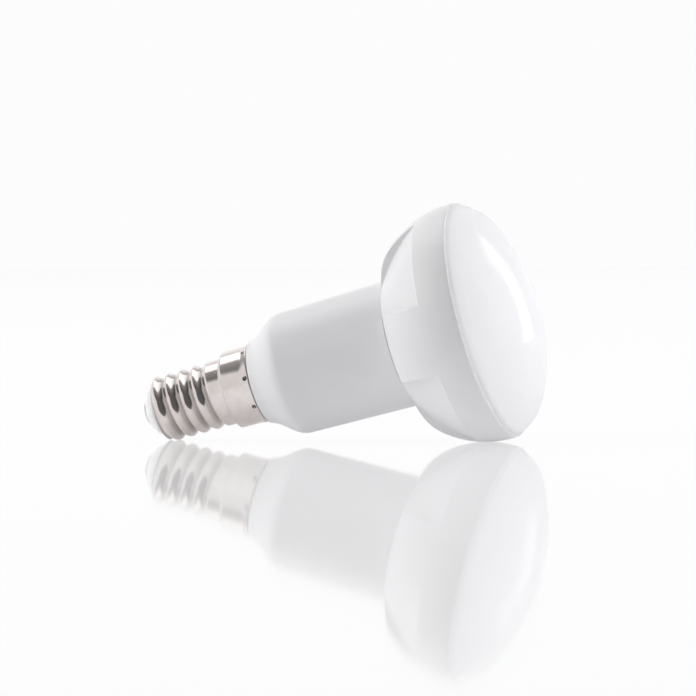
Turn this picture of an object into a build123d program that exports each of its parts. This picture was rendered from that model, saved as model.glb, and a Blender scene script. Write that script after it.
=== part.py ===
from build123d import *
import os
from math import asin, atan2, cos, hypot, radians, sin, sqrt

# Reflector bulb with a small screw cap, lying on its side on the head and the first thread crest.
# Sizes are in millimetres and degrees. Stations count along the lamp from the rim, back to the cap.

# Diffuser: opal front that leans in from the rim, with a rounded knuckle and a flatter crown.
diffuser_height = 10.3
diffuser_lean = 17.0
knuckle_radius = 9.0
skirt_ledge = 1.2
skirt_depth = 2.8

# Housing: barrel-shaped flank, widest just behind the rim, four ribs with recesses between them,
# neck and shoulder.
head_diameter = 48.0
widest_setback = 1.2
flank_radius = 20.0
flank_turn = 35.0
flank_reach = 2.5
rim_edge = 0.4
head_length = 17.3
back_angle = 76.0
back_reach = 5.0
rib_count = 4
rib_width = 14.0
rib_turn = 3.0
recess_lap = 0.2
recess_angle = 43.9
recess_length = 16.0
recess_bulge = 0.75
neck_head_diameter = 25.6
neck_cap_diameter = 24.7
neck_length = 23.3
shoulder_length = 7.4
shoulder_overhang = 0.35
shoulder_foot_angle = 15.0
shoulder_foot_reach = 3.2
shoulder_neck_reach = 2.6

# Screw cap: flared mouth, collar, plain band and knuckle thread, all of thin sheet.
seam_gap = 0.15
mouth_flare = 0.25
mouth_length = 1.4
collar_step = 1.05
collar_length = 6.1
collar_round = 0.6
sheet = 0.45
band_step = 0.05
band_length = 2.9
thread_diameter = 13.5
thread_depth = 0.75
thread_pitch = 2.822
thread_width = 2.7
thread_root = 0.25
thread_sink = 0.2
screw_length = 12.54
thread_overrun = 2.07
lip_height = 0.3
lip_land = 0.15
dimple_count = 8
dimple_turn = -11.0
dimple_radius = 0.55
dimple_depth = 0.28
dimple_inset = 0.75

# Nose of the cap: insulator and contact.
plug_length = 2.0
nose_length = 2.3
nose_side_reach = 1.2
nose_face_reach = 1.3
contact_diameter = 4.8
contact_height = 0.6
contact_round = 0.35
contact_seat = 0.5

# Play between a piece and the one that holds it.
fit_play = 0.05

# Stations, from the rim back to the end of the cap.
neck_start = -head_length
neck_end = neck_start - neck_length
shoulder_end = neck_end - shoulder_length
mouth_end = shoulder_end - seam_gap
collar_end = mouth_end - collar_length
band_end = collar_end - band_length
shell_end = band_end - screw_length
thread_start = shell_end - thread_overrun
thread_length = band_end + thread_sink - thread_start
plug_end = shell_end + plug_length
nose_end = shell_end - nose_length
contact_end = nose_end - contact_height
first_crest = thread_start + 1.5 * thread_pitch

# Radii of the head, from the flank's arc inwards. The arc's middle lies level with the widest circle.
flank_middle = head_diameter / 2 - flank_radius
rim_radius = flank_middle + sqrt(flank_radius**2 - widest_setback**2)
diffuser_radius = rim_radius - rim_edge
skirt_radius = diffuser_radius - skirt_ledge
mouth_bore = skirt_radius + fit_play
neck_head_radius = neck_head_diameter / 2
neck_cap_radius = neck_cap_diameter / 2

# Radii of the cap, from the thread outwards and then inwards.
thread_radius = thread_diameter / 2
band_radius = thread_radius + band_step
collar_radius = band_radius + collar_step
mouth_radius = collar_radius + mouth_flare
foot_radius = mouth_radius + shoulder_overhang
collar_bore = collar_radius - sheet
core_radius = thread_radius - thread_depth
shell_bore = core_radius - sheet
lip_bore = shell_bore - lip_height
lead_round = thread_radius - lip_bore - lip_land
nose_radius = lip_bore - fit_play
contact_radius = contact_diameter / 2

# The crown's arc meets the knuckle's arc and its centre lies on the lamp's axis.
lean_turn = radians(diffuser_lean)
knuckle_station = -knuckle_radius * sin(lean_turn)
knuckle_middle = diffuser_radius - knuckle_radius * cos(lean_turn)
knuckle_reach = diffuser_height - knuckle_station
crown_radius = (knuckle_middle**2 + knuckle_reach**2 - knuckle_radius**2) / (
    2 * (knuckle_reach - knuckle_radius)
)
crown_centre = diffuser_height - crown_radius
crown_angle = atan2(knuckle_middle, knuckle_station - crown_centre)

# The lamp rests on the flank's arc and on the first thread crest, with the head towards +X. The
# floor's line runs from the crest and touches the arc.
arc_ahead = -widest_setback - first_crest
arc_above = flank_middle - thread_radius
tilt = atan2(arc_above, arc_ahead) + asin(flank_radius / hypot(arc_ahead, arc_above))
front_x = crown_centre * cos(tilt) + crown_radius
back_x = (
    (contact_end + contact_round) * cos(tilt)
    - (contact_radius - contact_round) * sin(tilt)
    - contact_round
)
rim_height = flank_radius + flank_middle * cos(tilt) + widest_setback * sin(tilt)
rim_centre = Vector(-(front_x + back_x) / 2, 0, rim_height)
lamp_direction = Vector(cos(tilt), 0, sin(tilt))
lamp_up = Vector(-sin(tilt), 0, cos(tilt))
lamp_axis = Axis(rim_centre, lamp_direction)

# In the axial plane x is the station and y the radius. The cross plane looks along the lamp.
axial_plane = Plane(rim_centre, x_dir=lamp_direction, z_dir=(0, -1, 0))
cross_plane = Plane(rim_centre, x_dir=(0, -1, 0), z_dir=lamp_direction)
thread_plane = Plane(rim_centre, x_dir=lamp_up, z_dir=lamp_direction).offset(thread_start)


# Diffuser: one moulding, with a skirt that sits in the housing's mouth.
with BuildPart() as diffuser:
    with BuildSketch(axial_plane):
        with BuildLine():
            knuckle_end = (
                crown_centre + crown_radius * cos(crown_angle),
                crown_radius * sin(crown_angle),
            )
            Polyline(
                (diffuser_height, 0),
                (-skirt_depth, 0),
                (-skirt_depth, skirt_radius),
                (0, skirt_radius),
                (0, diffuser_radius),
            )
            TangentArc((0, diffuser_radius), knuckle_end, tangent=(cos(lean_turn), -sin(lean_turn)))
            RadiusArc(knuckle_end, (diffuser_height, 0), crown_radius)
        make_face()
    revolve(axis=lamp_axis)
diffuser.part.label = "diffuser"


# Cutter for the recesses: all that stands above their shallow floor, apart from the ribs.
with BuildPart() as recesses:
    with BuildSketch(axial_plane):
        with BuildLine():
            floor_turn = radians(recess_angle)
            recess_start = neck_start - recess_lap
            recess_top = head_diameter / 2 + recess_length
            floor_start = (recess_start, neck_head_radius)
            floor_end = (
                recess_start + recess_length * cos(floor_turn),
                neck_head_radius + recess_length * sin(floor_turn),
            )
            SagittaArc(floor_start, floor_end, recess_bulge)
            Polyline(
                floor_end,
                (floor_end[0], recess_top),
                (recess_start, recess_top),
                floor_start,
            )
        make_face()
    revolve(axis=lamp_axis)
    with BuildSketch(cross_plane):
        with PolarLocations(0, rib_count, start_angle=rib_turn):
            Rectangle(recess_top, rib_width, align=(Align.MIN, Align.CENTER))
    extrude(amount=recess_start, mode=Mode.SUBTRACT)


# Housing: one moulding from the spigot in the cap to the rim, closed and filled.
with BuildPart() as housing:
    with BuildSketch(axial_plane):
        with BuildLine():
            spigot_end = plug_end + fit_play
            spigot_step = collar_end + sheet + fit_play
            seat = -skirt_depth - fit_play
            Polyline(
                (seat, 0),
                (spigot_end, 0),
                (spigot_end, shell_bore - fit_play),
                (spigot_step, shell_bore - fit_play),
                (spigot_step, collar_bore - fit_play),
                (shoulder_end, collar_bore - fit_play),
                (shoulder_end, foot_radius),
            )
            foot_turn = radians(shoulder_foot_angle)
            Bezier(
                (shoulder_end, foot_radius),
                (
                    shoulder_end + shoulder_foot_reach * cos(foot_turn),
                    foot_radius + shoulder_foot_reach * sin(foot_turn),
                ),
                (neck_end - shoulder_neck_reach, neck_cap_radius),
                (neck_end, neck_cap_radius),
            )
            Line((neck_end, neck_cap_radius), (neck_start, neck_head_radius))
            back_turn = radians(back_angle)
            arc_turn = radians(flank_turn)
            arc_start = (
                -widest_setback - flank_radius * sin(arc_turn),
                flank_middle + flank_radius * cos(arc_turn),
            )
            Bezier(
                (neck_start, neck_head_radius),
                (
                    neck_start + back_reach * cos(back_turn),
                    neck_head_radius + back_reach * sin(back_turn),
                ),
                (
                    arc_start[0] - flank_reach * cos(arc_turn),
                    arc_start[1] - flank_reach * sin(arc_turn),
                ),
                arc_start,
            )
            RadiusArc(arc_start, (0, rim_radius), flank_radius)
            Polyline((0, rim_radius), (0, mouth_bore), (seat, mouth_bore), (seat, 0))
        make_face()
    revolve(axis=lamp_axis)
    add(recesses.part, mode=Mode.SUBTRACT)
housing.part.label = "housing"


# Path of the thread: a right-hand helix, made upright and moved onto the lamp's axis.
with BuildLine() as upright_helix:
    Helix(thread_pitch, thread_length, core_radius)
thread_path = upright_helix.line.moved(thread_plane.location)


# Screw shell: turned profile with a bore, the helical thread with its rounded lead-in, and the
# ring of punch marks.
with BuildPart() as screw_shell:
    with BuildSketch(axial_plane):
        with BuildLine():
            collar_top = mouth_end - mouth_length
            Polyline(
                (shell_end, core_radius),
                (shell_end, lip_bore),
                (shell_end + sheet, lip_bore),
                (shell_end + sheet, shell_bore),
                (collar_end + sheet, shell_bore),
                (collar_end + sheet, collar_bore),
                (mouth_end, collar_bore),
                (mouth_end, mouth_radius),
                (collar_top, collar_radius),
                (collar_end + collar_round, collar_radius),
            )
            RadiusArc(
                (collar_end + collar_round, collar_radius),
                (collar_end, collar_radius - collar_round),
                -collar_round,
            )
            Polyline(
                (collar_end, collar_radius - collar_round),
                (collar_end, band_radius),
                (band_end, band_radius),
                (band_end, core_radius),
                (shell_end, core_radius),
            )
        make_face()
    revolve(axis=lamp_axis)
    with BuildSketch(Plane(thread_path @ 0, x_dir=lamp_up, z_dir=thread_path % 0)):
        with BuildLine():
            half = thread_width / 2
            Bezier((0, -half), (0, -half / 2), (thread_depth, -half / 2), (thread_depth, 0))
            Bezier((thread_depth, 0), (thread_depth, half / 2), (0, half / 2), (0, half))
            Polyline((0, half), (-thread_root, half), (-thread_root, -half), (0, -half))
        make_face()
    sweep(path=thread_path, is_frenet=True)
    with BuildSketch(axial_plane):
        with BuildLine():
            lead_foot = (shell_end, thread_radius - lead_round)
            lead_top = (shell_end + lead_round, thread_radius)
            lead_back = thread_start - thread_width
            RadiusArc(lead_foot, lead_top, lead_round)
            Polyline(
                lead_top,
                (lead_top[0], mouth_radius),
                (lead_back, mouth_radius),
                (lead_back, lead_foot[1]),
                lead_foot,
            )
        make_face()
    revolve(axis=lamp_axis, mode=Mode.SUBTRACT)
    with Locations(cross_plane.offset(mouth_end - dimple_inset)):
        with PolarLocations(
            mouth_radius + dimple_radius - dimple_depth, dimple_count, start_angle=dimple_turn
        ):
            Sphere(dimple_radius, mode=Mode.SUBTRACT)
screw_shell.part.label = "screw_shell"


# Base insulator: rounded nose with a plug in the shell and a seat for the contact.
with BuildPart() as base_insulator:
    with BuildSketch(axial_plane):
        with BuildLine():
            plug_radius = shell_bore - fit_play
            plug_face = shell_end + sheet + fit_play
            seat_radius = contact_radius + fit_play
            seat_floor = nose_end + contact_seat
            Polyline(
                (seat_floor, 0),
                (plug_end, 0),
                (plug_end, plug_radius),
                (plug_face, plug_radius),
                (plug_face, nose_radius),
                (shell_end, nose_radius),
            )
            Bezier(
                (shell_end, nose_radius),
                (shell_end - nose_side_reach, nose_radius),
                (nose_end, seat_radius + nose_face_reach),
                (nose_end, seat_radius),
            )
            Polyline((nose_end, seat_radius), (seat_floor, seat_radius), (seat_floor, 0))
        make_face()
    revolve(axis=lamp_axis)
base_insulator.part.label = "base_insulator"


# Center contact: button with a rounded edge, set in the nose.
with BuildPart() as center_contact:
    with BuildSketch(cross_plane.offset(contact_end)):
        Circle(contact_radius)
    extrude(amount=contact_height + contact_seat)
    fillet(center_contact.edges().sort_by(lamp_axis)[0], contact_round)
center_contact.part.label = "center_contact"


os.makedirs("parts", exist_ok=True)
export_step(diffuser.part, "parts/diffuser.step")
export_step(housing.part, "parts/housing.step")
export_step(screw_shell.part, "parts/screw_shell.step")
export_step(base_insulator.part, "parts/base_insulator.step")
export_step(center_contact.part, "parts/center_contact.step")
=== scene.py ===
import bpy
import numpy as np
from mathutils import Matrix, Vector


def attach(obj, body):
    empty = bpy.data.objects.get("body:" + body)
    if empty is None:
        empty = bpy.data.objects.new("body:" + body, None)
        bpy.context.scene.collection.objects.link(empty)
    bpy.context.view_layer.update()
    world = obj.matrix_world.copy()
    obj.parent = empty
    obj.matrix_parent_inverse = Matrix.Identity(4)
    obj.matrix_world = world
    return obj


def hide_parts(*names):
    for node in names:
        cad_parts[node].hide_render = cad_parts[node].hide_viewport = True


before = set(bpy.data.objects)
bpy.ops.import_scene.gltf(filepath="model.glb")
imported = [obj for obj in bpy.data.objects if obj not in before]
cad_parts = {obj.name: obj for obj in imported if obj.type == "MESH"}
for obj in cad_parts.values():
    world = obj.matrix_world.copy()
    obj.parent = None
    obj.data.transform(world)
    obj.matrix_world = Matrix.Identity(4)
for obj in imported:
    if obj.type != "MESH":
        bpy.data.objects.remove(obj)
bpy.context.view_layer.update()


# Housing: one white polycarbonate moulding, from the spigot that the cap is crimped on, through
# shoulder and neck, to the bowl. Four broad ribs stand on the bowl, with shallow recesses between
# them, and the whole skin has the even satin grain of a spark-eroded mould.
lean, rim_middle = np.radians(15.16015), (29.6493, 0.0, 24.1746)


def around(station, radius, angle):
    """Points of the lamp in metres. Each lies a station in mm along the axis from the middle of the
    rim, and a radius in mm out from it, at an angle counted from the viewer's side downwards. The
    axis rises by the lean towards the front."""
    axis = np.array([np.cos(lean), 0.0, np.sin(lean)])
    near = np.array([0.0, -1.0, 0.0])
    down = np.array([np.sin(lean), 0.0, -np.cos(lean)])
    station, radius, angle = (np.asarray(a, float)[..., None] for a in (station, radius, angle))
    out = near * np.cos(angle) + down * np.sin(angle)
    return (np.array(rim_middle) + axis * station + out * radius) / 1000


def skin(name, points, ring=False):
    """Closed mesh over a grid of points, with one four-sided face to each cell. Rows run along the
    piece and columns run round it, the last joined to the first. A ring joins its last row to its
    first too, and any other piece gets a point in the middle of each end row, with a fan of
    triangles. If the volume comes out negative, every face is turned round."""
    rows, columns = points.shape[:2]
    corner = np.arange(rows * columns).reshape(rows, columns)
    if ring:
        corner = np.vstack([corner, corner[:1]])
    beside = np.roll(corner, -1, axis=1)
    quads = np.stack([corner[:-1], corner[1:], beside[1:], beside[:-1]], axis=-1).reshape(-1, 4)
    dots = points.reshape(-1, 3)
    fans = np.zeros((0, 3), int)
    if not ring:
        first, last = len(dots), len(dots) + 1
        dots = np.vstack([dots, points[0].mean(0), points[-1].mean(0)])
        fans = np.vstack([
            np.stack([beside[0], np.full(columns, first), corner[0]], axis=-1),
            np.stack([corner[-1], np.full(columns, last), beside[-1]], axis=-1),
        ])
    halves = np.vstack([quads[:, :3], quads[:, [0, 2, 3]], fans])
    a, b, c = (dots[halves[:, i]] - dots.mean(0) for i in range(3))
    if np.einsum("ij,ij->", a, np.cross(b, c)) < 0:
        quads, fans = quads[:, ::-1], fans[:, ::-1]
    mesh = bpy.data.meshes.new(name)
    mesh.from_pydata(dots.tolist(), [], quads.tolist() + fans.tolist())
    mesh.shade_smooth()
    piece = bpy.data.objects.new(name, mesh)
    bpy.context.scene.collection.objects.link(piece)
    return piece


def bend(start, leave, arrive, end, steps):
    """Cubic curve between two profile points: the four points weighted by (1-t)^3, 3t(1-t)^2,
    3t^2(1-t) and t^3."""
    t = np.linspace(0, 1, steps)[:, None]
    weights = [(1 - t) ** 3, 3 * t * (1 - t) ** 2, 3 * t**2 * (1 - t), t**3]
    return sum(np.array(p, float) * w for p, w in zip((start, leave, arrive, end), weights))


def rounded(corners, steps=6):
    """Profile through corners given as (station, radius, round). A corner with a round is replaced by
    the curve of second degree that leaves and reaches the two sides that far from the corner."""
    spots = np.array([c[:2] for c in corners], float)
    reach = np.array([c[2] for c in corners], float)
    t = np.linspace(0, 1, steps)[:, None]
    run = []
    for i, spot in enumerate(spots):
        if reach[i] == 0:
            run.append(spot[None])
            continue
        before = spots[i - 1] - spot
        after = spots[(i + 1) % len(spots)] - spot
        before *= reach[i] / np.linalg.norm(before)
        after *= reach[i] / np.linalg.norm(after)
        run.append(spot + before * (1 - t) ** 2 + after * t**2)
    return np.vstack(run)


def ribbed_ring(crest, floor, half_width, edge, foot):
    """Angles and radii of closed rings with four ribs. From the middle of a rib a ring follows the
    crest's circle, turns down round an edge, drops beside the rib at half its width from the rib's
    middle plane, with a slight draft, turns out round a foot, and follows the floor's circle to the
    middle of the recess. The other half of each quarter mirrors it. Where crest and floor meet, the
    wall has no height."""
    crest, floor = crest[:, None], floor[:, None]
    drop = crest - floor
    edge, foot = np.minimum(edge, 0.3 * drop), np.minimum(foot, 0.3 * drop)
    draft = 0.12 / crest
    top_turn = np.arcsin((half_width - edge) / (crest - edge))
    low_turn = np.arcsin((half_width + foot) / (floor + foot))
    share = np.linspace(0, 1, 7)
    turn = top_turn + (np.pi / 2 - top_turn) * share
    top_x = (crest - edge) * np.cos(top_turn) + edge * np.cos(turn)
    top_y = half_width - edge + edge * np.sin(turn)
    turn = np.pi / 2 + (low_turn - np.pi / 2) * share
    low_x = (floor + foot) * np.cos(low_turn) - foot * np.cos(turn)
    low_y = half_width + foot - foot * np.sin(turn)
    middle = np.linspace(0, 1, 8)[1:-1]
    wall_x = top_x[:, -1:] + (low_x[:, :1] - top_x[:, -1:]) * middle
    wall_y = half_width + 0 * wall_x
    x, y = np.hstack([top_x, wall_x, low_x]), np.hstack([top_y, wall_y, low_y])
    step_angle = np.arctan2(y, x) + draft * np.linspace(-1, 1, x.shape[1])
    step_radius = np.hypot(x, y)
    out = np.linspace(0, 1, 15)
    crest_angle = step_angle[:, :1] * out[:-1]
    floor_angle = step_angle[:, -1:] + (np.pi / 4 - step_angle[:, -1:]) * out[1:]
    angle = np.hstack([crest_angle, step_angle, floor_angle])
    radius = np.hstack([crest + 0 * crest_angle, step_radius, floor + 0 * floor_angle])
    angle = np.hstack([angle, np.pi / 2 - angle[:, -2:0:-1]])
    radius = np.hstack([radius, radius[:, -2:0:-1]])
    quarter = np.pi / 2 * np.arange(4)[:, None, None] + angle
    return np.hstack(list(quarter)), np.hstack([radius] * 4)


spigot = np.array([(-67.64, 1.0), (-67.64, 5.5), (-53.75, 5.5), (-53.75, 7.35), (-47.95, 7.35)])
foot_edge = rounded([(-47.95, 7.35, 0), (-47.95, 8.463, 0.2), (-44.909, 9.278, 0)])[1:-1]
shoulder = bend((-47.757, 8.515), (-44.909, 9.278), (-43.2, 12.35), (-40.6, 12.355), 40)
neck = np.linspace((-40.6, 12.355), (-17.6, 12.794), 26)[1:]
neck = np.vstack([neck, [(-17.52, 12.796), (-17.44, 12.797), (-17.36, 12.799)]])
back = bend((-17.3, 12.8), (-16.09, 17.651), (-14.719, 18.949), (-12.672, 20.383), 901)
turn = np.radians(np.linspace(125.0, 86.56, 1101))
belly, belly_middle = 19.99, (-1.2, 4.0)
barrel = np.stack([belly * np.cos(turn), belly * np.sin(turn)], axis=-1) + belly_middle
flank = np.vstack([back[:-1], barrel])

# The recess floor is a flat arc that rises from the neck and runs into the flank, where it ends in
# a low step. Rows lie denser across the step.
floor_middle, floor_bow, recess_end, end_step = (17.590, -12.126), 43.042, -7.16, 0.28
recess_floor = floor_middle[1] + np.sqrt(floor_bow**2 - (flank[:, 0] - floor_middle[0]) ** 2)
sink = end_step * np.clip((flank[:, 0] + 17.5) / (recess_end + 17.5), 0, 1) ** 2
recess_floor = np.minimum(recess_floor - sink, flank[:, 1])
climb = np.clip((flank[:, 0] - recess_end) / 0.22, 0, 1)
climb = climb**2 * (3 - 2 * climb)
recess_floor += (flank[:, 1] - recess_floor) * climb
at_end = np.interp(recess_end + np.linspace(-0.06, 0.28, 9), flank[:, 0], np.arange(len(flank)))
pick = np.unique(np.concatenate([np.linspace(0, len(flank) - 1, 91), at_end]).round().astype(int))
flank, recess_floor = flank[pick], recess_floor[pick]
rim = rounded([(-1.0, 23.985, 0), (0.0, 23.955, 0.2), (0.0, 22.414, 0)])[1:-1]
mouth = np.array([(0.0, 22.414), (-2.85, 22.414), (-2.85, 4.0)])
profile = np.vstack([spigot, foot_edge, shoulder, neck, flank[:-1], rim, mouth])
low = profile[:, 1].copy()
first = len(spigot) + len(foot_edge) + len(shoulder) + len(neck)
low[first:first + len(flank) - 1] = recess_floor[:-1]
plain = np.abs(profile[:, 1] - low) < 1e-9
neck_radius, half_rib, rib_edge, rib_foot, rib_turn = 12.8, 7.0, 0.25, 0.3, np.radians(3.0)
ring_angle, ring_radius = ribbed_ring(
    np.maximum(profile[:, 1], neck_radius), np.maximum(low, neck_radius), half_rib, rib_edge, rib_foot,
)
ring_angle[plain & (profile[:, 1] < neck_radius)] = ring_angle[first]
ring_radius[plain] = profile[plain, 1:]

# A fine groove runs behind each rib, where the back of the bowl meets the neck.
from_rib = np.abs((ring_angle[first] + np.pi / 4) % (np.pi / 2) - np.pi / 4)
groove_depth, groove_end = 0.25, 0.55
ring_radius[first - 2:first] -= groove_depth * np.clip((groove_end - from_rib) / 0.05, 0, 1)
housing = skin("housing_moulding", around(profile[:, :1], ring_radius, ring_angle + rib_turn))


def linear(code):
    """An sRGB hex colour as linear red, green, blue and full alpha: below 0.04045 a channel is divided
    by 12.92, and above it is ((c + 0.055) / 1.055) to the power 2.4."""
    part = np.array([int(code[i:i + 2], 16) for i in (1, 3, 5)]) / 255
    part = np.where(part <= 0.04045, part / 12.92, ((part + 0.055) / 1.055) ** 2.4)
    return (*part.tolist(), 1.0)


def add(material, kind, inputs, **settings):
    """One node: its settings, and each input as a value or as the output that feeds it."""
    made = material.node_tree.nodes.new(kind)
    for key, value in settings.items():
        setattr(made, key, value)
    for key, value in inputs.items():
        if isinstance(value, bpy.types.NodeSocket):
            material.node_tree.links.new(value, made.inputs[key])
        else:
            made.inputs[key].default_value = value
    return made


def blank(name):
    """An empty material, and the piece's own coordinates in millimetres, turned so that x runs along
    the lamp. There x is 34.94 more than the station."""
    made = bpy.data.materials.new(name)
    made.use_nodes = True
    made.node_tree.nodes.clear()
    place = add(made, "ShaderNodeTexCoord", {})
    lamp = add(made, "ShaderNodeMapping", {
        "Vector": place.outputs["Object"],
        "Rotation": (0.0, lean, 0.0),
        "Scale": (1000.0, 1000.0, 1000.0),
    })
    return made, lamp.outputs["Vector"]


# Satin polycarbonate: a faint cloud in the white from the melt, about 17 mm across, and an eroded
# grain of 0.25 mm that softens each reflection.
plastic, spot = blank("satin_white_polycarbonate")
cloud = add(plastic, "ShaderNodeTexNoise", {"Vector": spot, "Scale": 0.06, "Detail": 3.0, "Roughness": 0.5})
white = add(plastic, "ShaderNodeValToRGB", {"Fac": cloud.outputs["Fac"]})
white.color_ramp.elements[0].position, white.color_ramp.elements[0].color = 0.35, linear("#e3e3e5")
white.color_ramp.elements[1].position, white.color_ramp.elements[1].color = 0.65, linear("#e7e7e8")
grain = add(plastic, "ShaderNodeTexNoise", {
    "Vector": spot, "Scale": 1 / 0.25, "Detail": 2.0, "Roughness": 0.6,
})
relief = add(plastic, "ShaderNodeBump", {
    "Height": grain.outputs["Fac"], "Strength": 0.04, "Distance": 0.00002,
})
satin = add(plastic, "ShaderNodeMapRange", {"Value": grain.outputs["Fac"], "To Min": 0.3, "To Max": 0.38})
shader = add(plastic, "ShaderNodeBsdfPrincipled", {
    "Base Color": white.outputs["Color"], "Roughness": satin.outputs["Result"],
    "Normal": relief.outputs["Normal"], "IOR": 1.58,
})
add(plastic, "ShaderNodeOutputMaterial", {"Surface": shader.outputs["BSDF"]})
housing.data.materials.append(plastic)
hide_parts("housing")
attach(housing, "root")


# Diffuser: the opal front, a thin polycarbonate dome that snaps into the housing's mouth by a skirt.
# A tight curve at the rim runs into a much flatter crown, and its brim lies on the housing's rim.
columns = np.linspace(0, 2 * np.pi, 193)[:-1]
crown, crown_middle, knuckle, knuckle_middle = 39.4169, -29.1189, 9.0, (-2.6333, 14.9572)
meet = np.arctan2(knuckle_middle[1], knuckle_middle[0] - crown_middle)
turn = np.linspace(np.radians(68.0), meet, 24)
curve = np.stack([knuckle * np.cos(turn), knuckle * np.sin(turn)], axis=-1) + knuckle_middle
turn = np.linspace(meet, 0.012, 60)[1:]
front = np.stack([crown_middle + crown * np.cos(turn), crown * np.sin(turn)], axis=-1)
seat_edge = rounded([(0.0, 22.364, 0), (0.0, 23.8, 0.08), (0.35, 23.72, 0.2), (0.6, 23.37, 0)])[1:-1]
dome = np.vstack([[(-2.8, 4.0), (-2.8, 22.364), (0.0, 22.364)], seat_edge, curve[1:], front])
diffuser = skin("opal_diffuser", around(dome[:, :1], dome[:, 1:], columns[None]))

# Opal polycarbonate: bright and even all over, because most of the light that meets the thin wall goes
# through it and comes back from inside, with a smooth moulded face that mirrors lamps. Clouds are
# 20 mm across, and the haze on the gloss under 1 mm. The skirt behind the rim stays opaque.
opal, spot = blank("opal_polycarbonate")
cloud = add(opal, "ShaderNodeTexNoise", {"Vector": spot, "Scale": 1 / 20, "Detail": 2.0})
milk = add(opal, "ShaderNodeValToRGB", {"Fac": cloud.outputs["Fac"]})
milk.color_ramp.elements[0].position, milk.color_ramp.elements[0].color = 0.3, linear("#fafafb")
milk.color_ramp.elements[1].position, milk.color_ramp.elements[1].color = 0.7, linear("#fcfcfd")
haze = add(opal, "ShaderNodeTexNoise", {"Vector": spot, "Scale": 1.2, "Detail": 2.0})
gloss = add(opal, "ShaderNodeMapRange", {"Value": haze.outputs["Fac"], "To Min": 0.04, "To Max": 0.07})
face = add(opal, "ShaderNodeBsdfPrincipled", {
    "Base Color": milk.outputs["Color"], "Roughness": gloss.outputs["Result"], "IOR": 1.58,
    "Specular IOR Level": 1.0,
})
through = add(opal, "ShaderNodeBsdfTranslucent", {"Color": milk.outputs["Color"]})
along = add(opal, "ShaderNodeSeparateXYZ", {"Vector": spot})
thin = add(opal, "ShaderNodeMapRange", {"Value": along.outputs["X"], "From Min": 34.95, "From Max": 34.99})
thick = add(opal, "ShaderNodeMapRange", {
    "Value": along.outputs["X"], "From Min": 35.15, "From Max": 35.35, "To Min": 1.0, "To Max": 0.93,
})
share = add(opal, "ShaderNodeMath", {
    0: thin.outputs["Result"], 1: thick.outputs["Result"],
}, operation="MULTIPLY")
shader = add(opal, "ShaderNodeMixShader", {
    "Fac": share.outputs["Value"], 1: face.outputs["BSDF"], 2: through.outputs["BSDF"],
})
add(opal, "ShaderNodeOutputMaterial", {"Surface": shader.outputs["Shader"]})
diffuser.data.materials.append(opal)
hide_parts("diffuser")
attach(diffuser, "root")


# Screw shell: the cap's thin brass sleeve, deep-drawn, rolled into a round thread and nickel-plated.
# A wider collar takes the housing's spigot and is fixed to it by eight punch marks below its mouth.
pitch, depth, first_crest, shell_end, lead = 2.822, 0.75, -71.76, -69.69, 1.35


def threaded(station, radius, angle):
    """Radius of the rolled shell. A wave once a pitch is pressed into the sleeve: half the depth times
    one minus the cosine of the turns counted from the first crest. The wave's groove dies away as it
    climbs into the plain band, and the first turn is cut off by the rounded lead-in."""
    part_turn = (angle + np.pi / 2) % (2 * np.pi) / (2 * np.pi)
    turns = (station - first_crest) / pitch - part_turn
    groove = first_crest + (np.floor(turns) + 0.5 + part_turn) * pitch
    fade = np.clip((-56.4 - groove) / 1.9, 0, 1)
    wave = radius - depth * (0.5 - 0.5 * np.cos(2 * np.pi * turns)) * fade**2 * (3 - 2 * fade)
    rise = np.clip((station - shell_end) / lead, 0, 1)
    return np.minimum(wave, 5.4 + lead * np.sqrt(1 - (1 - rise) ** 2))


outside = rounded([
    (-48.25, 7.4, 0.1), (-48.25, 8.12, 0.15), (-49.55, 7.87, 0.5), (-54.25, 7.85, 0.6), (-54.25, 6.8, 0.35),
    (-56.0, 6.8, 0),
])[:-1]

# Rows and columns lie denser across the punch marks.
marks, mark_turn, mark_station, mark_radius, mark_depth = 8, np.radians(-11.0), -48.87, 0.47, 0.42
collar = 7.95
marked = np.linspace(-48.44, -49.44, 18)
marked = np.stack([marked, np.interp(-marked, -outside[11:16, 0], outside[11:16, 1])], axis=-1)
outside = np.vstack([outside[:12], marked, outside[15:]])
lead_in = shell_end + lead * (1 - np.cos(np.linspace(0.02, np.pi / 2, 14)))
sleeve = np.concatenate([np.linspace(-54.7, -68.3, 150), lead_in[::-1][1:]])
sleeve = np.stack([sleeve, np.interp(sleeve, [-57.2, -56.6], [6.75, 6.8])], axis=-1)
inside = np.array([
    (shell_end, 5.36), (shell_end, 5.25), (-69.24, 5.25), (-69.24, 5.55), (-53.8, 5.55), (-53.8, 7.4),
])
shell = np.vstack([outside, sleeve, inside])
side = np.arange(-18, 18) / 18
side = np.pi / marks * (0.4 * side + 0.6 * side**3)
angle = (mark_turn + 2 * np.pi / marks * np.arange(marks)[:, None] + side).reshape(1, -1)
radius = np.repeat(shell[:, 1:], angle.shape[1], axis=1)
rolled = slice(len(outside), len(outside) + len(sleeve))
radius[rolled] = threaded(shell[rolled, :1], radius[rolled], angle)

# Painted shade darkens the grooves, the deeper parts more, and fills the punch marks, which are round dents.
painted_shade = np.zeros(radius.shape)
painted_shade[rolled] = 0.5 * np.clip((shell[rolled, 1:] - radius[rolled]) / depth, 0, 1) ** 3
away = np.hypot(np.tile(side, marks) * collar, shell[:, :1] - mark_station) / mark_radius
hole = np.where((shell[:, :1] > -50.5) & (shell[:, 1:] > 7.8), np.clip(1 - away**2, 0, 1), 0)
radius -= mark_depth * hole**0.5
painted_shade = np.maximum(painted_shade, 0.85 * np.clip(2 * hole, 0, 1))
screw_shell = skin("rolled_shell", around(shell[:, :1], radius, angle), ring=True)
# The painted shade of the grooves and punch marks is stored on each point of the shell.
shade_layer = screw_shell.data.attributes.new("painted_shade", "FLOAT", "POINT")
shade_layer.data.foreach_set("value", painted_shade.ravel().astype(np.float32))
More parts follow.
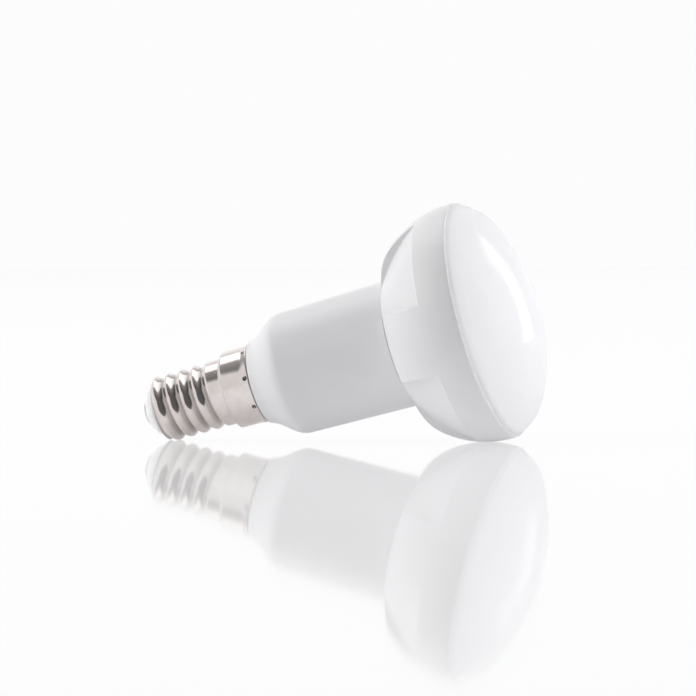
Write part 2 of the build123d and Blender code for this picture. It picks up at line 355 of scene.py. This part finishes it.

# Nickel plate: a warm grey mirror, blurred a little along faint drawing lines that run round the cap
# and are 0.125 mm apart, with a tarnish in patches of about 3 mm, and painted shade darkening its hollows.
nickel, spot = blank("nickel_plated_brass")
lines = add(nickel, "ShaderNodeMapping", {"Vector": spot, "Scale": (1 / 0.125, 0.15, 0.15)})
drawn = add(nickel, "ShaderNodeTexNoise", {"Vector": lines.outputs["Vector"], "Scale": 1.0, "Detail": 3.0})
tarnish = add(nickel, "ShaderNodeTexNoise", {"Vector": spot, "Scale": 0.35, "Detail": 3.0})
tone = add(nickel, "ShaderNodeValToRGB", {"Fac": tarnish.outputs["Fac"]})
tone.color_ramp.elements[0].position, tone.color_ramp.elements[0].color = 0.35, linear("#d6cecb")
tone.color_ramp.elements[1].position, tone.color_ramp.elements[1].color = 0.65, linear("#e0d9d6")
polish = add(nickel, "ShaderNodeMapRange", {"Value": drawn.outputs["Fac"], "To Min": 0.09, "To Max": 0.2})
relief = add(nickel, "ShaderNodeBump", {
    "Height": drawn.outputs["Fac"], "Strength": 0.06, "Distance": 0.00001,
})
hollow = add(nickel, "ShaderNodeAttribute", {}, attribute_name="painted_shade")
# Painted shade: the nickel's tone is mixed towards dark brown in the grooves and punch marks.
shaded_tone = add(nickel, "ShaderNodeMix", {
    "Factor": hollow.outputs["Fac"], 6: tone.outputs["Color"], 7: linear("#4a423f"),
}, data_type="RGBA")
shader = add(nickel, "ShaderNodeBsdfPrincipled", {
    "Base Color": shaded_tone.outputs[2], "Metallic": 1.0, "Roughness": polish.outputs["Result"],
    "Normal": relief.outputs["Normal"],
})
add(nickel, "ShaderNodeOutputMaterial", {"Surface": shader.outputs["BSDF"]})
screw_shell.data.materials.append(nickel)
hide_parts("screw_shell")
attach(screw_shell, "root")


# Base insulator: the milky nylon nose that is gripped by the shell's turned-in lip and keeps the
# contact apart from it.
columns = np.linspace(0, 2 * np.pi, 129)[:-1]
nose = bend((-69.69, 5.2), (-70.89, 5.2), (-71.99, 3.75), (-71.99, 2.45), 28)
plug = np.array([(-67.69, 1.0), (-67.69, 5.5), (-69.19, 5.5), (-69.19, 5.2)])
seat = np.array([(-71.49, 2.45), (-71.49, 0.8)])
insulator = np.vstack([plug, nose, seat])
insulator = skin("nylon_nose", around(insulator[:, :1], insulator[:, 1:], columns[None]))

# Milky nylon: soft white, clouded in patches of 2 mm, that lets light in below its surface, with a
# smooth moulded gloss.
nylon, spot = blank("milky_nylon")
cloud = add(nylon, "ShaderNodeTexNoise", {"Vector": spot, "Scale": 1 / 2, "Detail": 2.0})
milk = add(nylon, "ShaderNodeValToRGB", {"Fac": cloud.outputs["Fac"]})
milk.color_ramp.elements[0].position, milk.color_ramp.elements[0].color = 0.3, linear("#f7f7f8")
milk.color_ramp.elements[1].position, milk.color_ramp.elements[1].color = 0.7, linear("#fafafb")
shader = add(nylon, "ShaderNodeBsdfPrincipled", {
    "Base Color": milk.outputs["Color"], "Roughness": 0.3, "IOR": 1.53,
    "Subsurface Weight": 1.0, "Subsurface Radius": (0.003, 0.003, 0.003), "Subsurface Scale": 1.0,
})
add(nylon, "ShaderNodeOutputMaterial", {"Surface": shader.outputs["BSDF"]})
insulator.data.materials.append(nylon)
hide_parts("base_insulator")
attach(insulator, "root")


# Center contact: a tinned brass button, pressed into the end of the nose, that the lampholder's
# spring touches.
button = rounded([(-71.49, 0.3, 0), (-71.49, 2.4, 0), (-72.58, 2.4, 0.35), (-72.58, 0.3, 0)], steps=8)
contact = skin("contact_button", around(button[:, :1], button[:, 1:], columns[None]))

# Tinned brass: dull silver, scuffed by the spring in specks of about 0.3 mm.
tin, spot = blank("tinned_brass")
scuff = add(tin, "ShaderNodeTexNoise", {"Vector": spot, "Scale": 3.0, "Detail": 4.0})
tone = add(tin, "ShaderNodeValToRGB", {"Fac": scuff.outputs["Fac"]})
tone.color_ramp.elements[0].position, tone.color_ramp.elements[0].color = 0.35, linear("#d8d5d0")
tone.color_ramp.elements[1].position, tone.color_ramp.elements[1].color = 0.65, linear("#e6e4e0")
dull = add(tin, "ShaderNodeMapRange", {"Value": scuff.outputs["Fac"], "To Min": 0.22, "To Max": 0.38})
shader = add(tin, "ShaderNodeBsdfPrincipled", {
    "Base Color": tone.outputs["Color"], "Metallic": 1.0, "Roughness": dull.outputs["Result"],
})
add(tin, "ShaderNodeOutputMaterial", {"Surface": shader.outputs["BSDF"]})
contact.data.materials.append(tin)
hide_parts("center_contact")
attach(contact, "root")


# Floor: a sheet of glossy white acrylic, lit a little from below. To the eye it is white, keeps a soft
# shadow, and mirrors the lamp at a little under half strength. In the metal it shows partly as white.
acrylic = bpy.data.materials.new("white_acrylic_sheet")
acrylic.use_nodes = True
acrylic.node_tree.nodes.clear()
seen = add(acrylic, "ShaderNodeLightPath", {})
matt = add(acrylic, "ShaderNodeBsdfDiffuse", {"Color": linear("#ebebed")})
below = add(acrylic, "ShaderNodeEmission", {"Color": linear("#ffffff"), "Strength": 0.24})
sheet_side = add(acrylic, "ShaderNodeAddShader", {0: matt.outputs[0], 1: below.outputs[0]})
glow = add(acrylic, "ShaderNodeEmission", {"Color": linear("#fefefe"), "Strength": 1.05})
lit = add(acrylic, "ShaderNodeMixShader", {"Fac": 0.1, 1: glow.outputs[0], 2: matt.outputs[0]})
mirror = add(acrylic, "ShaderNodeBsdfGlossy", {"Color": linear("#f2f2f3"), "Roughness": 0.05})
sheen = add(acrylic, "ShaderNodeMixShader", {"Fac": 0.5, 1: lit.outputs[0], 2: mirror.outputs[0]})
mirrored = add(acrylic, "ShaderNodeMath", {
    0: seen.outputs["Is Glossy Ray"], 1: seen.outputs["Is Transmission Ray"],
}, operation="MAXIMUM")
mirrored = add(acrylic, "ShaderNodeMapRange", {"Value": mirrored.outputs["Value"], "To Max": 0.3})
sheet_side = add(acrylic, "ShaderNodeMixShader", {
    "Fac": mirrored.outputs["Result"], 1: sheet_side.outputs[0], 2: lit.outputs[0],
})
floor_side = add(acrylic, "ShaderNodeMixShader", {
    "Fac": seen.outputs["Is Camera Ray"], 1: sheet_side.outputs[0], 2: sheen.outputs[0],
})
add(acrylic, "ShaderNodeOutputMaterial", {"Surface": floor_side.outputs[0]})
sheet = bpy.data.meshes.new("floor")
reach = 0.9
corners = [(-reach, -reach, 0), (reach, -reach, 0), (reach, reach, 0), (-reach, reach, 0)]
sheet.from_pydata(corners, [], [(0, 1, 2, 3)])
sheet.materials.append(acrylic)
floor = bpy.data.objects.new("floor", sheet)
floor.location.z = -0.00003
bpy.context.scene.collection.objects.link(floor)


# Studio: white walls, a dim ceiling with a wide softbox overhead, and a dark corner in front on the
# right. The walls show in gloss and metal only. More softboxes stand around, three of them on the left,
# and a tall strip behind on the right gives the streak on the dome.
studio = bpy.data.worlds.new("white_studio")
bpy.context.scene.world = studio
studio.use_nodes = True
studio.node_tree.nodes.clear()
seen = add(studio, "ShaderNodeLightPath", {})
place = add(studio, "ShaderNodeTexCoord", {})
height = add(studio, "ShaderNodeSeparateXYZ", {"Vector": place.outputs["Generated"]})
behind = add(studio, "ShaderNodeVectorMath", {0: place.outputs["Generated"], 1: (-0.2546, 0.9656, 0.0532)},
             operation="DOT_PRODUCT")
wall = add(studio, "ShaderNodeMapRange", {
    "Value": behind.outputs["Value"], "From Min": -1.0, "From Max": 1.0, "To Min": 0.9, "To Max": 1.1,
})
ceiling = add(studio, "ShaderNodeMapRange", {
    "Value": behind.outputs["Value"], "From Min": -0.6, "From Max": 0.6, "To Min": 0.1, "To Max": 0.6,
})
above = add(studio, "ShaderNodeMapRange", {
    "Value": height.outputs["Z"], "From Min": 0.56, "From Max": 0.70,
}, interpolation_type="SMOOTHSTEP")
room = add(studio, "ShaderNodeMix", {
    "Factor": above.outputs["Result"], 2: wall.outputs["Result"], 3: ceiling.outputs["Result"],
})
facing = add(studio, "ShaderNodeVectorMath", {0: place.outputs["Generated"], 1: (0.732, -0.659, 0.174)},
             operation="DOT_PRODUCT")
dark_side = add(studio, "ShaderNodeMapRange", {
    "Value": facing.outputs["Value"], "From Min": 0.6, "From Max": 0.84,
}, interpolation_type="SMOOTHSTEP")
room = add(studio, "ShaderNodeMix", {"Factor": dark_side.outputs["Result"], 2: room.outputs[0], 3: 0.14})
mirrored = add(studio, "ShaderNodeMath", {
    0: seen.outputs["Is Glossy Ray"], 1: seen.outputs["Is Transmission Ray"],
}, operation="MAXIMUM")
dim = add(studio, "ShaderNodeBackground", {"Color": linear("#ffffff"), "Strength": 0.02})
walls = add(studio, "ShaderNodeBackground", {"Color": linear("#fefefe"), "Strength": room.outputs[0]})
backdrop = add(studio, "ShaderNodeBackground", {"Color": linear("#fefefe"), "Strength": 0.985})
unseen = add(studio, "ShaderNodeMixShader", {
    "Fac": mirrored.outputs["Value"], 1: dim.outputs[0], 2: walls.outputs[0],
})
room = add(studio, "ShaderNodeMixShader", {
    "Fac": seen.outputs["Is Camera Ray"], 1: unseen.outputs[0], 2: backdrop.outputs[0],
})
add(studio, "ShaderNodeOutputWorld", {"Surface": room.outputs[0]})


def softbox(name, spot, aim, width, height, radiance, lights=True, mirrored=False):
    """A rectangular lamp at a spot, turned towards its aim. Its power is pi times its area times the
    radiance of its face. It lights matt surfaces, shows in glossy ones, or does both."""
    lamp = bpy.data.lights.new(name, "AREA")
    lamp.shape, lamp.size, lamp.size_y = "RECTANGLE", width, height
    lamp.energy = np.pi * width * height * radiance
    made = bpy.data.objects.new(name, lamp)
    made.location = spot
    made.rotation_euler = (Vector(aim) - Vector(spot)).to_track_quat("-Z", "Y").to_euler()
    made.visible_camera = False
    made.visible_diffuse, made.visible_transmission, made.visible_glossy = lights, lights, mirrored
    bpy.context.scene.collection.objects.link(made)


middle = (0.0, 0.0, 0.025)
softbox("left", (-0.752, 0.0, 0.299), middle, 0.55, 0.55, 1.7)
softbox("left_front", (-0.681, -0.318, 0.299), middle, 0.55, 0.55, 2.05)
softbox("left_high", (-0.506, -0.089, 0.638), middle, 0.55, 0.55, 1.65)
softbox("front", (-0.146, -0.546, 0.591), middle, 0.55, 0.55, 0.5)
softbox("right", (0.752, 0.0, 0.299), middle, 0.55, 0.55, 3.0)
softbox("back", (-0.195, 0.700, 0.363), middle, 0.55, 0.55, 0.5)
softbox("overhead", (0.1, 0.32, 0.825), (0.1, 0.32, 0.0), 1.7, 0.64, 1.2, mirrored=True)
softbox("strip", (0.390, 0.505, 0.213), (0.037, -0.009, 0.028), 0.15, 0.36, 10.0, lights=False, mirrored=True)


# Camera: low and a little to the right of the lamp's side, a metre away through a long lens.
side, rise, roll = np.radians([14.770, 3.052, -0.676])
back = np.array([np.sin(side) * np.cos(rise), -np.cos(side) * np.cos(rise), np.sin(rise)])
right = np.array([np.cos(side), np.sin(side), 0.0])
up = np.cross(back, right)
right, up = right * np.cos(roll) + up * np.sin(roll), up * np.cos(roll) - right * np.sin(roll)
eye = np.array([0.0013537, 0.0, 0.018517]) + back
optics = bpy.data.cameras.new("camera")
optics.lens, optics.sensor_width, optics.clip_start, optics.clip_end = 259.76, 36.0, 0.05, 100.0
camera = bpy.data.objects.new("camera", optics)
stand = np.eye(4)
stand[:3] = np.stack([right, up, back, eye], axis=1)
camera.matrix_world = Matrix(stand.tolist())
bpy.context.scene.collection.objects.link(camera)
bpy.context.scene.camera = camera
bpy.context.scene.view_settings.view_transform = "Standard"
